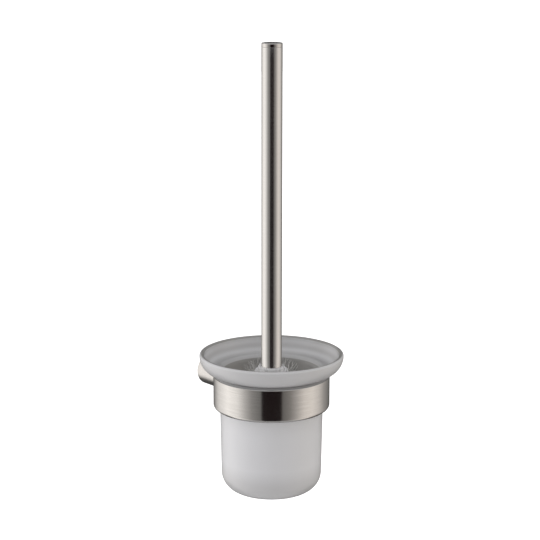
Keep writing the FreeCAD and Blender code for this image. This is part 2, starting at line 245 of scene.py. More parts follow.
@dataclass(frozen=True)
class BrushedSteel:
    """Satin stainless steel with fine brushing round one axis."""

    name: str
    grain: Grain
    centre: Vector
    bright: Tone = (0.69, 0.675, 0.66)
    dim: Tone = (0.58, 0.565, 0.55)
    roughness: float = 0.19
    relief: float = 0.032
    streak: float = 0.9
    lines_per_metre: float = 1800.0
    line_stretch: float = 40.0
    patches_per_metre: float = 9.0
    patch_share: float = 0.25

    def material(self) -> bpy.types.Material:
        """Builds the finish.

        Returns:
            The material: fine lines round the axis, with the shine blurred across them.
        """
        steel = Recipe(self.name)
        fine, patch = self.lines_per_metre, self.patches_per_metre
        stretch = [fine / self.line_stretch] * 3
        stretch["XYZ".index(self.grain.value)] = fine
        lines = steel.noise(steel.place(self.centre, tuple(stretch)), 1.0, 4.0, 0.65)
        soft = steel.noise(steel.place(self.centre, (patch, patch, patch)), 1.0, 2.0)
        share = steel.spread(lines, 0.0, 1.0, 0.25, 0.75)
        colour = steel.blend_colours(share, self.dim, self.bright)
        steel.join(colour, steel.shader.inputs["Base Color"])
        mixed = steel.node("ShaderNodeMath", operation="MULTIPLY_ADD")
        steel.join(soft, mixed.inputs[0])
        mixed.inputs[1].default_value = self.patch_share
        steel.join(lines, mixed.inputs[2])
        smooth, rough = self.roughness - 0.02, self.roughness + 0.03
        worn = steel.spread(mixed.outputs["Value"], smooth, rough, 0.3, 0.95)
        steel.join(worn, steel.shader.inputs["Roughness"])
        steel.constant(Metallic=1.0, Anisotropic=self.streak, Anisotropic_Rotation=QUARTER_TURN)
        tangent = steel.node("ShaderNodeTangent", direction_type="RADIAL", axis=self.grain.value)
        steel.join(tangent.outputs["Tangent"], steel.shader.inputs["Tangent"])
        steel.bump(lines, self.relief)
        return steel.material


@dataclass(frozen=True)
class PlainMetal:
    """Unpolished metal of the hidden fixings."""

    name: str
    tone: Tone
    roughness: float
    grain_per_metre: float = 900.0
    patches_per_metre: float = 120.0
    worn_share: float = 0.78

    def material(self) -> bpy.types.Material:
        """Builds the finish.

        Returns:
            The material: a cast or turned grain with darker, rougher patches.
        """
        metal = Recipe(self.name)
        grain = metal.grain(self.grain_per_metre, 5.0, 0.6)
        patches = metal.spread(metal.grain(self.patches_per_metre, 2.0), 0.0, 1.0)
        worn = tuple(channel * self.worn_share for channel in self.tone)
        metal.join(metal.blend_colours(patches, worn, self.tone), metal.shader.inputs["Base Color"])
        rough = metal.spread(grain, self.roughness - 0.06, self.roughness + 0.1)
        metal.join(rough, metal.shader.inputs["Roughness"])
        metal.constant(Metallic=1.0)
        metal.bump(grain, 0.25)
        return metal.material


@dataclass(frozen=True)
class FrostedGlass:
    """Thick acid-etched glass: milky, with a soft sheen, and darkened by painted shade where the
    shell's painted shade tone says so.
    """

    name: str = "frosted_glass"
    tint: Tone = (0.86, 0.865, 0.88)
    shade: Tone = (0.82, 0.825, 0.835)
    # Painted shade colour that the vertex tone blends towards: it stands for the steel band's
    # shadow in the throat and for dark reflections and shading on the rim, flare and foot.
    painted_shade: Tone = (0.52, 0.51, 0.49)
    behind: Tone = (0.80, 0.81, 0.835)
    through: float = 0.32
    clouds_per_metre: float = 14.0
    etch_per_metre: float = 1400.0

    def material(self) -> bpy.types.Material:
        """Builds the finish.

        Returns:
            The material: an etched white skin mixed with light passing through from behind, both
                darkened by the painted shade tone.
        """
        glass = Recipe(self.name)
        cloud = glass.spread(glass.grain(self.clouds_per_metre, 2.0), 0.0, 1.0)
        etch = glass.grain(self.etch_per_metre)
        # How much painted shade the shell's vertex tone asks for here.
        depth = glass.node("ShaderNodeAttribute", attribute_name=PAINTED_SHADE_TONE).outputs["Fac"]
        skin = glass.blend_colours(cloud, self.shade, self.tint)
        skin = glass.multiply(skin, glass.blend_colours(depth, WHITE, self.painted_shade))
        glass.join(skin, glass.shader.inputs["Base Color"])
        glass.join(glass.spread(etch, 0.34, 0.46), glass.shader.inputs["Roughness"])
        glass.constant(IOR=1.5, Coat_Weight=0.8, Coat_Roughness=0.22, Coat_IOR=1.5)
        glass.bump(etch, 0.12)
        glow = glass.node("ShaderNodeBsdfTranslucent")
        # The light passing through is darkened by the same painted shade.
        dimmed = tuple(one * other for one, other in zip(self.behind, self.painted_shade))
        glass.join(glass.blend_colours(depth, self.behind, dimmed), glow.inputs["Color"])
        mix = glass.node("ShaderNodeMixShader")
        mix.inputs["Fac"].default_value = self.through
        glass.join(glass.shader.outputs["BSDF"], mix.inputs[1])
        glass.join(glow.outputs["BSDF"], mix.inputs[2])
        output = glass.tree.nodes["Material Output"]
        glass.join(mix.outputs["Shader"], output.inputs["Surface"])
        return glass.material


@dataclass(frozen=True)
class SoftPlastic:
    """Moulded plastic with a faint skin texture."""

    name: str
    tone: Tone
    roughness: float
    skin_per_metre: float = 700.0
    flow_per_metre: float = 60.0
    flow_stretch: Triple = (1.0, 1.0, 0.4)
    flow_share: float = 0.93

    def material(self) -> bpy.types.Material:
        """Builds the finish.

        Returns:
            The material: a fine skin over slow flow marks.
        """
        plastic = Recipe(self.name)
        skin = plastic.grain(self.skin_per_metre, 4.0)
        flow = plastic.noise(plastic.place(Vector(), self.flow_stretch), self.flow_per_metre, 2.0)
        darker = tuple(channel * self.flow_share for channel in self.tone)
        colour = plastic.blend_colours(plastic.spread(flow, 0.0, 1.0), darker, self.tone)
        plastic.join(colour, plastic.shader.inputs["Base Color"])
        rough = plastic.spread(skin, self.roughness - 0.04, self.roughness + 0.06)
        plastic.join(rough, plastic.shader.inputs["Roughness"])
        plastic.constant(IOR=1.49)
        plastic.bump(skin, 0.08)
        return plastic.material


@dataclass(frozen=True)
class NylonBristle:
    """White nylon filament, greyer in streaks; the grey is partly painted shade, dark enough to
    stand for the shade the bristles lie in inside the cup.
    """

    name: str = "nylon_bristle"
    pale: Tone = (0.88, 0.88, 0.86)
    # Streak colour that is partly real tone and partly painted shade for the bristles inside the
    # cup.
    grey_and_shade: Tone = (0.46, 0.46, 0.45)
    streaks_per_metre: float = 420.0

    def material(self) -> bpy.types.Material:
        """Builds the finish.

        Returns:
            The material: pale and darker streaks, the darker ones partly painted shade, with a soft
                shine.
        """
        nylon = Recipe(self.name)
        streak = nylon.noise(nylon.place(cup_axis(), UNIT), self.streaks_per_metre)
        colour = nylon.blend_colours(nylon.spread(streak, 0.0, 1.0), self.grey_and_shade, self.pale)
        nylon.join(colour, nylon.shader.inputs["Base Color"])
        nylon.join(nylon.spread(streak, 0.32, 0.46), nylon.shader.inputs["Roughness"])
        nylon.constant(IOR=1.53, Sheen_Weight=0.1)
        nylon.bump(streak, 0.1)
        return nylon.material


@dataclass(frozen=True)
class StudioFloor:
    """Pale matt floor, a little uneven in tone."""

    name: str = "studio_floor"
    dim: Tone = (0.93, 0.93, 0.93)
    pale: Tone = (0.95, 0.95, 0.95)
    patches_per_metre: float = 0.4
    glow: float = 0.8

    def material(self) -> bpy.types.Material:
        """Builds the finish.

        Returns:
            The material: matt and evenly bright.
        """
        floor = Recipe(self.name)
        patches = floor.grain(self.patches_per_metre, 2.0)
        colour = floor.blend_colours(patches, self.dim, self.pale)
        floor.join(colour, floor.shader.inputs["Base Color"])
        floor.constant(Roughness=0.9, Specular_IOR_Level=0.1)
        floor.constant(Emission_Color=(*WHITE, 1.0), Emission_Strength=self.glow)
        return floor.material


# ------------------------------------------------------------------------------ mesh tools


class Section:
    """An outline drawn step by step in the XZ plane, ready to be turned round the Z axis."""

    def __init__(self, across: float, up: float) -> None:
        """Starts the outline at one point.

        Args:
            across: distance from the axis.
            up: height.
        """
        self.mesh = bmesh.new()
        self.first = self.mesh.verts.new((across, 0.0, up))
        self.tip = self.first

    def line(self, across: float, up: float) -> "Section":
        """Draws a straight edge.

        Args:
            across: the end's distance from the axis.
            up: the end's height.

        Returns:
            The outline, so that calls can be chained.
        """
        made = bmesh.ops.extrude_vert_indiv(self.mesh, verts=[self.tip])
        self.tip = made["verts"][0]
        self.tip.co = (across, 0.0, up)
        return self

    def arc(self, centre_across: float, centre_up: float, degrees: float, steps: int) -> "Section":
        """Draws an arc.

        Args:
            centre_across: the centre's distance from the axis.
            centre_up: the centre's height.
            degrees: how far it turns, anticlockwise seen from the front.
            steps: how many edges it has.

        Returns:
            The outline.
        """
        made = bmesh.ops.spin(
            self.mesh,
            geom=[self.tip],
            cent=(centre_across, 0.0, centre_up),
            axis=(0.0, -1.0, 0.0),
            angle=math.radians(degrees),
            steps=steps,
        )
        self.tip = next(item for item in made["geom_last"] if isinstance(item, bmesh.types.BMVert))
        return self

    def divide(self, across: float, up: float, parts: int) -> "Section":
        """Draws a straight run in equal parts.

        Args:
            across: the end's distance from the axis.
            up: the end's height.
            parts: how many edges it has.

        Returns:
            The outline.
        """
        start = self.tip.co.copy()
        goal = Vector((across, 0.0, up))
        for part in range(1, parts + 1):
            point = start.lerp(goal, part / parts)
            self.line(point.x, point.z)
        return self

    def close(self) -> "Section":
        """Joins the end of the outline to its start."""
        self.mesh.edges.new((self.tip, self.first))
        return self

    def merge(self) -> "Section":
        """Makes one point of an end that lies on the start."""
        bmesh.ops.remove_doubles(self.mesh, verts=self.mesh.verts[:], dist=MERGE)
        return self

    def turned(self, steps: int, place: Matrix) -> bmesh.types.BMesh:
        """Turns the outline into a closed round shell.

        Args:
            steps: how many facets go round.
            place: where the shape's own axis and origin go.

        Returns:
            The shell, facing outwards.
        """
        bmesh.ops.spin(
            self.mesh,
            geom=self.mesh.verts[:] + self.mesh.edges[:],
            cent=(0.0, 0.0, 0.0),
            axis=(0.0, 0.0, 1.0),
            angle=FULL_TURN,
            steps=steps,
            use_merge=True,
        )
        bmesh.ops.remove_doubles(self.mesh, verts=self.mesh.verts[:], dist=MERGE)
        bmesh.ops.recalc_face_normals(self.mesh, faces=self.mesh.faces[:])
        bmesh.ops.transform(self.mesh, matrix=place, verts=self.mesh.verts[:])
        return self.mesh


@dataclass(frozen=True)
class Fitting:
    """What a finished piece is fitted to: its body, the CAD nodes it shows, and its finish.

    A piece that isn't mirrored doesn't show in the steel's reflections.
    """

    body: str
    nodes: tuple[str, ...]
    slot: str
    material: bpy.types.Material
    mirrored: bool = True


def object_of(name: str, mesh: bmesh.types.BMesh) -> bpy.types.Object:
    """Makes an object of a mesh and frees the mesh.

    Args:
        name: the object's name.
        mesh: its mesh, in place.

    Returns:
        The object, in the scene.
    """
    data = bpy.data.meshes.new(name)
    mesh.to_mesh(data)
    mesh.free()
    item = bpy.data.objects.new(name, data)
    bpy.context.scene.collection.objects.link(item)
    return item


def finish_piece(
    name: str, mesh: bmesh.types.BMesh, fitting: Fitting, sharp_degrees: float = 35.0
) -> bpy.types.Object:
    """Makes an object of a finished mesh and fits it to the frame.

    Args:
        name: the piece's name.
        mesh: its mesh, in place; freed here.
        fitting: its body, CAD nodes, slot and material.
        sharp_degrees: edges that turn more than this stay sharp.

    Returns:
        The object.
    """
    piece = object_of(name, mesh)
    piece.data.materials.append(fitting.material)
    piece.data.shade_smooth()
    piece.data.set_sharp_from_angle(angle=math.radians(sharp_degrees))
    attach(piece, fitting.body)
    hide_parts(*fitting.nodes)
    piece.visible_glossy = fitting.mirrored
    LOG.info("%s: %d faces on %s", name, len(piece.data.polygons), fitting.body)
    return piece


def dress_node(node: str, material: bpy.types.Material) -> None:
    """Gives a CAD node that stays in view its finish.

    Args:
        node: the node's name.
        material: its finish.
    """
    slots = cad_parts[node].material_slots
    for slot in slots:
        slot.material = material
    if not slots:
        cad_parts[node].data.materials.append(material)
    LOG.info("%s: dressed in %s", node, material.name)


def upright(height: float) -> Matrix:
    """A place on the cup's axis at a height."""
    axis = cup_axis()
    return Matrix.Translation((axis.x, axis.y, height))


# ------------------------------------------------------------------------------ holder


@dataclass
class Holder:
    """The fixed part: wall boss, post, ring band, seat ring and their screws."""

    turn_steps: int = 160
    band_wall: float = 1.5 * MM
    band_roll: float = 3.3 * MM
    band_lip: float = 46.4 * MM
    band_edge: float = 0.45 * MM
    seat_wall: float = 1.0 * MM
    seat_lap: float = 0.9 * MM
    seat_bead: float = 2.05 * MM
    seat_round: float = 0.45 * MM
    socket_radius: float = 10.35 * MM
    socket_depth: float = 16.0 * MM
    post_edge: float = 0.6 * MM
    grub_hole: float = 2.05 * MM
    grub_from_wall: float = 7.0 * MM
    seat_gap: float = 0.05 * MM
    # The seat ring's dark grey is painted shadow: it stands for the shadow gap between the glass's
    # flare and the band.
    seat_shadow_tone: Tone = (0.22, 0.22, 0.22)
    screw_tone: Tone = (0.62, 0.61, 0.60)
    cast_tone: Tone = (0.52, 0.53, 0.55)

    def build(self) -> None:
        """Makes and dresses every piece of the holder."""
        axis = cup_axis()
        round_steel = BrushedSteel("band_steel", Grain.CUP, axis).material()
        post_steel = BrushedSteel("post_steel", Grain.POST, Vector()).material()
        # The clear seat ring is given a painted shadow colour.
        shadowed_seat = SoftPlastic("clear_seat", self.seat_shadow_tone, 0.45).material()
        band = self.fit("ring_band", "brushed_steel", round_steel)
        seat = self.fit("seat_ring", "clear_seat", shadowed_seat)
        post = self.fit("post", "brushed_steel", post_steel)
        finish_piece("ring_band_shell", self.band(), band)
        finish_piece("seat_ring_bead", self.seat(), seat)
        finish_piece("post_bar", self.post(), post)
        screws = PlainMetal("screw_steel", self.screw_tone, 0.3).material()
        cast = PlainMetal("cast_zinc", self.cast_tone, 0.45).material()
        dress_node("wall_boss", cast)
        dress_node("grub_screw", screws)
        dress_node("ring_screws", screws)

    def fit(self, node: str, slot: str, material: bpy.types.Material) -> Fitting:
        """The fitting of one holder piece."""
        return Fitting("holder", (node,), slot, material, mirrored=False)

    def band(self) -> bmesh.types.BMesh:
        """The deep hoop, its lower edge rolled in to a lip.

        Returns:
            The hoop's shell, in place.
        """
        low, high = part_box("ring_band")
        outer, edge, roll = radius_of("ring_band"), self.band_edge, self.band_roll
        inner, height = outer - self.band_wall, high.z - low.z
        section = Section(self.band_lip, 0.0)
        section.line(outer - roll, 0.0).arc(outer - roll, roll, 90, 10)
        section.divide(outer, height - edge, 6).arc(outer - edge, height - edge, 90, 4)
        section.line(inner + edge, height).arc(inner + edge, height - edge, 90, 4)
        section.divide(inner, roll, 6).arc(outer - roll, roll, -90, 8)
        section.line(self.band_lip, self.band_wall).close()
        return section.turned(self.turn_steps, upright(low.z))

    def seat(self) -> bmesh.types.BMesh:
        """The soft ring that laps over the band's top edge.

        Returns:
            The ring's shell, in place.
        """
        low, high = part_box("seat_ring")
        over = radius_of("seat_ring")
        outer, height = over - self.seat_lap, high.z - low.z
        inner, curve = outer - self.seat_wall, self.seat_round
        lap = height - self.seat_bead + self.seat_gap
        section = Section(inner, 0.0)
        section.line(outer, 0.0).line(outer, lap).line(over, lap)
        section.line(over, height - curve).arc(over - curve, height - curve, 90, 5)
        section.line(inner + curve, height).arc(inner + curve, height - curve, 90, 5).close()
        return section.turned(self.turn_steps, upright(low.z))

    def post(self) -> bmesh.types.BMesh:
        """The round bar: a socket at the wall, a saddle on the band, and the grub screw's hole.

        Returns:
            The bar's shell, in place.
        """
        outer, band = radius_of("post"), radius_of("ring_band")
        axis, edge = cup_axis(), self.post_edge
        reach = -axis.y - band + outer * outer / band
        section = Section(0.0, self.socket_depth)
        section.line(self.socket_radius, self.socket_depth).line(self.socket_radius, 0.0)
        section.line(outer - edge, 0.0).arc(outer - edge, edge, 90, 5)
        section.divide(outer, reach, 12).divide(0.0, reach, 12)
        flat = Matrix.Rotation(math.radians(90), 4, "X")
        bar = section.turned(96, flat)
        front = -reach + 0.01 * MM
        for vert in bar.verts:
            if vert.co.y < front:
                vert.co.y = axis.y + math.sqrt(band * band - vert.co.x * vert.co.x)
        return self.drilled(bar)

    def drilled(self, bar: bmesh.types.BMesh) -> bmesh.types.BMesh:
        """Cuts the grub screw's hole up into the post.

        Args:
            bar: the post; freed here.

        Returns:
            The post with its hole.
        """
        outer = radius_of("post")
        drill = bmesh.new()
        bmesh.ops.create_cone(
            drill,
            cap_ends=True,
            segments=32,
            radius1=self.grub_hole,
            radius2=self.grub_hole,
            depth=outer * 0.6,
            matrix=Matrix.Translation((0.0, -self.grub_from_wall, -outer)),
        )
        body, tool = object_of("bar", bar), object_of("drill", drill)
        cut = body.modifiers.new("grub_hole", "BOOLEAN")
        cut.operation, cut.solver, cut.object = "DIFFERENCE", "EXACT", tool
        bpy.context.view_layer.update()
        result = body.evaluated_get(bpy.context.evaluated_depsgraph_get()).to_mesh()
        made = bmesh.new()
        made.from_mesh(result)
        for item in (body, tool):
            bpy.data.objects.remove(item)
        return made


# ------------------------------------------------------------------------------ glass


@dataclass
class GlassCup:
    """Thick-walled glass: a tumbler with a rounded foot and a flared bowl for a rim."""

    wall: float = 4.0 * MM
    floor: float = 6.0 * MM
    flare: float = 15.3 * MM
    neck: float = 2.1 * MM
    foot: float = 44.2 * MM
    corner: float = 17.0 * MM
    corner_inner: float = 13.0 * MM
    # Faint rings of painted reflection in the bowl: where they start, their pitch, their painted
    # shade and how many turns.
    ring_start: float = 2.6 * MM
    ring_pitch: float = 8.2 * MM
    ring_painted_shade: float = 0.18
    ring_turns: float = 1.5
    inner_share: float = 0.75
    neck_inside: float = 1.05
    neck_outside: float = 0.9
    # Where the steel band's painted shadow fills the inside of the throat.
    throat: float = 43.0 * MM
    throat_reach: float = 60.0 * MM
    # Painted shade: on the rim's crest, fuller at its edges, on the flare's outside, and near the
    # foot.
    crest_painted_shade: float = 0.22
    edge_painted_shade: float = 1.0
    edge_lean: tuple[float, float] = (-66.0, 14.0)
    flare_painted_shade: float = 0.38
    foot_painted_shade: float = 0.34
    foot_reach: float = 27.0 * MM
    turn_steps: int = 192

    def build(self) -> None:
        """Makes and dresses the glass."""
        glass = FrostedGlass().material()
        fitting = Fitting("cup", ("glass_cup",), "frosted_glass", glass, mirrored=False)
        finish_piece("frosted_glass_cup", self.shell(), fitting)

    def shell(self) -> bmesh.types.BMesh:
        """Turns the outside and the inside of the glass as one closed shell.

        Returns:
            The shell, in place, with its painted shade tones written on it.
        """
        low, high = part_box("glass_cup")
        rim, half = radius_of("glass_cup"), self.wall / 2
        bowl = rim - self.flare
        neck_out = bowl - self.neck
        rim_height = high.z - low.z - half
        neck_height = rim_height - self.flare - self.neck
        inner_foot, inner_corner = self.foot - self.wall, self.corner_inner
        section = Section(0.0, 0.0)
        section.divide(self.foot - self.corner, 0.0, 6)
        section.arc(self.foot - self.corner, self.corner, 90, 20)
        section.divide(neck_out, neck_height, 14).arc(bowl, neck_height, -90, 8)
        section.arc(bowl, rim_height, 90, 24).arc(rim - half, rim_height, 180, 14)
        section.arc(bowl, rim_height, -90, 22).arc(bowl, neck_height, 90, 14)
        section.divide(inner_foot, self.floor + inner_corner, 14)
        section.arc(inner_foot - inner_corner, self.floor + inner_corner, -90, 16)
        section.divide(0.0, self.floor, 5)
        shell = section.turned(self.turn_steps, upright(low.z))
        self.paint_shade_tones(shell, bowl, low.z + rim_height, low.z)
        return shell

    def paint_shade_tones(self, shell: bmesh.types.BMesh, across: float, up: float, low: float) -> None:
        """Writes the glass's painted shade: the steel band's shadow in the throat, a darker rim
        crest, the flare and the foot, and faint painted reflection rings in the bowl.

        Args:
            shell: the glass.
            across: the bowl's centre of curvature, from the cup's axis.
            up: the height of that centre.
            low: the height of the glass's foot.
        """
        tone = shell.verts.layers.float.new(PAINTED_SHADE_TONE)
        axis = cup_axis()
        inside = self.flare - self.wall * self.inner_share
        for vert in shell.verts:
            out = math.hypot(vert.co.x - axis.x, vert.co.y - axis.y) - across
            drop = up - vert.co.z
            # Painted shade on the rim's crest, fullest at its edges.
            if drop < 0:
                lean = math.degrees(math.atan2(out - self.flare + self.wall / 2, -drop))
                at_edge = self.edge_lean[0] < lean < self.edge_lean[1]
                vert[tone] = self.edge_painted_shade if at_edge else self.crest_painted_shade
            # Faint rings of painted reflection in the bowl.
            elif out > -self.neck and math.hypot(out, drop) < inside:
                along = math.atan2(drop, out) * (self.flare - self.wall)
                turns = min((along - self.ring_start) / self.ring_pitch, self.ring_turns)
                vert[tone] = self.ring_painted_shade * (1 - math.cos(FULL_TURN * turns))
            # Full painted shadow of the steel band inside the throat.
            elif out + across < self.throat and drop < self.throat_reach:
                vert[tone] = 1.0
            # Painted shade on the inside of the neck.
            elif out < -self.neck * self.neck_inside and drop < self.flare + self.neck:
                vert[tone] = self.ring_painted_shade * 2
            # Painted shade on the flare's outside.
            elif out > -self.neck * self.neck_outside:
                vert[tone] = self.flare_painted_shade
            # Painted shade near the foot, strongest part of the way up.
            else:
                above_foot = min((vert.co.z - low) / self.foot_reach, 1.0)
                vert[tone] = self.foot_painted_shade * math.sin(math.pi * above_foot)


# ------------------------------------------------------------------------------ brush


@dataclass
class Handle:
    """The long steel tube with its end cap, bush and stud."""

    tube_wall: float = 0.8 * MM
    edge: float = 0.25 * MM
    cap_edge: float = 0.9 * MM
    cap_disc: float = 3.5 * MM
    seam: float = 0.2 * MM
    plug: float = 8.15 * MM
    turn_steps: int = 96
    bush_tone: Tone = (0.52, 0.53, 0.55)
    stud_tone: Tone = (0.60, 0.59, 0.58)

    def build(self) -> None:
        """Makes and dresses every piece of the handle."""
        steel = BrushedSteel(
            "tube_steel",
            Grain.CUP,
            cup_axis(),
            bright=(0.69, 0.68, 0.67),
            dim=(0.645, 0.635, 0.625),
            roughness=0.24,
            relief=0.012,
        )
        button = BrushedSteel(
            "cap_steel", Grain.CUP, cup_axis(), roughness=0.2, relief=0.01, streak=0.5
        )
        tube = Fitting("brush", ("handle_tube",), "brushed_steel", steel.material())
        cap = Fitting("brush", ("handle_end_cap",), "brushed_steel", button.material())
        finish_piece("handle_tube_shell", self.tube(), tube)
        finish_piece("handle_cap_button", self.cap(), cap)
        dress_node("handle_insert", PlainMetal("bush_zinc", self.bush_tone, 0.4).material())
        dress_node("head_stud", PlainMetal("stud_steel", self.stud_tone, 0.32).material())

    def tube(self) -> bmesh.types.BMesh:
        """The tube, open at both ends, with broken edges.

        Returns:
            The tube's shell, in place.
        """
        low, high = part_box("handle_tube")
        outer, edge, length = radius_of("handle_tube"), self.edge, high.z - low.z
        bore = outer - self.tube_wall
        section = Section(bore, 0.0)
        section.line(outer - edge, 0.0).arc(outer - edge, edge, 90, 3)
        section.divide(outer, length - edge, 24).arc(outer - edge, length - edge, 90, 3)
        section.line(bore, length).divide(bore, 0.0, 4).merge()
        return section.turned(self.turn_steps, upright(low.z))

    def cap(self) -> bmesh.types.BMesh:
        """The flat button on its spigot, with a fine seam under it.

        Returns:
            The button's shell, in place.
        """
        low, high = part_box("handle_end_cap")
        outer, height = radius_of("handle_end_cap"), high.z - low.z
        disc, edge = height - self.cap_disc, self.cap_edge
        section = Section(0.0, 0.0)
        section.line(self.plug - self.edge, 0.0).line(self.plug, self.edge).line(self.plug, disc)
        section.line(outer - self.seam, disc).line(outer, disc + self.seam)
        section.line(outer, height - edge).arc(outer - edge, height - edge, 90, 6)
        section.divide(0.0, height, 8)
        return section.turned(self.turn_steps, upright(low.z))


@dataclass
class BrushHead:
    """The moulded core and its tufts of nylon bristle."""

    core: float = 14.0 * MM
    collar: float = 14.9 * MM
    collar_base: float = 16.5 * MM
    collar_top: float = 19.0 * MM
    collar_edge: float = 1.2 * MM
    tier: float = 12.0 * MM
    tier_top: float = 22.1 * MM
    tier_edge: float = 1.4 * MM
    hole: float = 4.02 * MM
    hole_end: float = -18.05 * MM
    fin_turn: float = -40.0
    fin_start: float = 9.25 * MM
    fin_outer: float = 2.6 * MM
    fin_foot: float = 20.5 * MM
    fin_thickness: float = 1.6 * MM
    fin_peak: tuple[float, float] = (0.5 * MM, 1.0 * MM)
    fin_taper: float = 0.45
    fin_bevel: float = 0.22 * MM
    filament: float = 0.17 * MM
    filaments: int = 26
    sway: float = 0.5 * MM
    length_luck: tuple[float, float] = (0.95, 1.0)
    lean_luck: tuple[float, float] = (0.75, 1.15)
    course: tuple[Triple, ...] = ((0.22, 0.36, 1.0), (0.58, 0.7, -1.0), (1.0, 1.0, 1.0))
    tuft_root: float = 1.5 * MM
    tuft_sunk: float = 0.6 * MM
    tuft_kinds: int = 3
    tufts_round: int = 16
    row_flare: float = 3.2 * MM
    row_gap: float = 1.2 * MM
    row_drop: float = 0.4 * MM
    row_rise: float = 0.05
    tip_rings: tuple[tuple[float, int], ...] = ((90.0, 1), (62.0, 7), (32.0, 12))
    tip_flare: float = 3.0 * MM
    crown_tufts: int = 12
    crown_filaments: int = 7
    crown_flare: float = 4.4 * MM
    crown_lean: float = 0.62
    crown_length: float = 0.9
    crown_turn: float = 0.25
    crown_step: float = 1.0 * MM
    crown_lift: float = 0.2 * MM
    smooth_degrees: float = 80.0
    seed: int = 7
    tip_seed: int = 57
    crown_seed: int = 97

    def build(self) -> None:
        """Makes and dresses the core and every row of tufts."""
        white = SoftPlastic("white_core", (0.92, 0.92, 0.935), 0.34).material()
        fitting = Fitting("brush", ("brush_core",), "white_plastic", white, mirrored=False)
        finish_piece("brush_core_moulding", self.core_mesh(), fitting)
        nylon = NylonBristle().material()
        rows = sorted(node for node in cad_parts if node.startswith("bristle_row_"))
        for index, node in enumerate(rows):
            self.dress_row(node, self.row(node, index), nylon)
        self.dress_row("bristle_tip", self.tip(), nylon)
        self.dress_row("bristle_crown", self.crown(), nylon)

    def dress_row(self, node: str, mesh: bmesh.types.BMesh, nylon: bpy.types.Material) -> None:
        """Fits one row of tufts in place of its CAD solid."""
        fitting = Fitting("brush", (node,), "bristle", nylon, mirrored=False)
        finish_piece(node.replace("bristle", "tufts"), mesh, fitting, self.smooth_degrees)

    def core_mesh(self) -> bmesh.types.BMesh:
        """The round-ended rod with its two-step collar and the pair of fins.

        Returns:
            The core's mesh, in place.
        """
        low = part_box("brush_core")[0].z
        core, collar, tier = self.core, self.collar, self.tier
        base, top = self.collar_base - low, self.collar_top - low
        tier_top, bevel, edge = self.tier_top - low, self.collar_edge, self.tier_edge
        section = Section(0.0, 0.0)
        section.arc(0.0, core, 90, 14).divide(core, base - collar + core, 10)
        section.line(collar, base).line(collar, top - bevel)
        section.arc(collar - bevel, top - bevel, 90, 5).line(tier, top)
        section.line(tier, tier_top - edge).arc(tier - edge, tier_top - edge, 90, 5)
        section.divide(self.hole, tier_top, 3).line(self.hole, self.hole_end - low)
        section.line(0.0, self.hole_end - low)
        mesh = section.turned(96, upright(low))
        for side in (0.0, 180.0):
            self.add_fin(mesh, self.fin_turn + side)
        return mesh

    def add_fin(self, mesh: bmesh.types.BMesh, degrees: float) -> None:
        """Stands one thin triangular fin on the collar, close to the tube.

        Args:
            mesh: the core, which the fin is added to.
            degrees: where the fin stands round the axis.
        """
        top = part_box("brush_core")[1].z
        fin = bmesh.new()
        bmesh.ops.create_cube(fin, size=1.0)
        size = Vector((self.fin_outer, self.fin_thickness, top - self.fin_foot))
        bmesh.ops.scale(fin, vec=size, verts=fin.verts[:])
        centre = Vector((self.fin_start + self.fin_outer / 2, 0.0, (top + self.fin_foot) / 2))
        bmesh.ops.translate(fin, vec=centre, verts=fin.verts[:])
        for vert in fin.verts:
            if vert.co.z > centre.z:
                inward = vert.co.x < centre.x
                vert.co.x = self.fin_start + self.fin_peak[0 if inward else 1]
                vert.co.y *= self.fin_taper
        bmesh.ops.bevel(
            fin,
            geom=fin.edges[:],
            offset=self.fin_bevel,
            segments=3,
            profile=0.5,
            affect="EDGES",
            material=-1,
        )
        turn = upright(0.0) @ Matrix.Rotation(math.radians(degrees), 4, "Z")
        bmesh.ops.transform(fin, matrix=turn, verts=fin.verts[:])
        self.append(mesh, fin)

    @staticmethod
    def append(mesh: bmesh.types.BMesh, extra: bmesh.types.BMesh) -> None:
        """Adds one mesh to another.

        Args:
            mesh: the mesh that grows.
            extra: what is added; freed here.
        """
        data = bpy.data.meshes.new("part")
        extra.to_mesh(data)
        extra.free()
        mesh.from_mesh(data)
        bpy.data.meshes.remove(data)

    def filament_mesh(self, mesh: bmesh.types.BMesh, points: list[Vector]) -> None:
        """Sweeps one three-sided filament.

        Args:
            mesh: the mesh that it is added to.
            points: its course, from root to end.
        """
        along = (points[1] - points[0]).to_track_quat("Z", "Y").to_matrix().to_4x4()
        ring = bmesh.ops.create_circle(
            mesh, segments=3, radius=self.filament, matrix=Matrix.Translation(points[0]) @ along
        )["verts"]
        edges = list({edge for vert in ring for edge in vert.link_edges})
        for start, end in zip(points, points[1:]):
            made = bmesh.ops.extrude_edge_only(mesh, edges=edges)["geom"]
            verts = [item for item in made if isinstance(item, bmesh.types.BMVert)]
            edges = [item for item in made if isinstance(item, bmesh.types.BMEdge)]
            bmesh.ops.translate(mesh, vec=end - start, verts=verts)
        bmesh.ops.contextual_create(mesh, geom=edges)

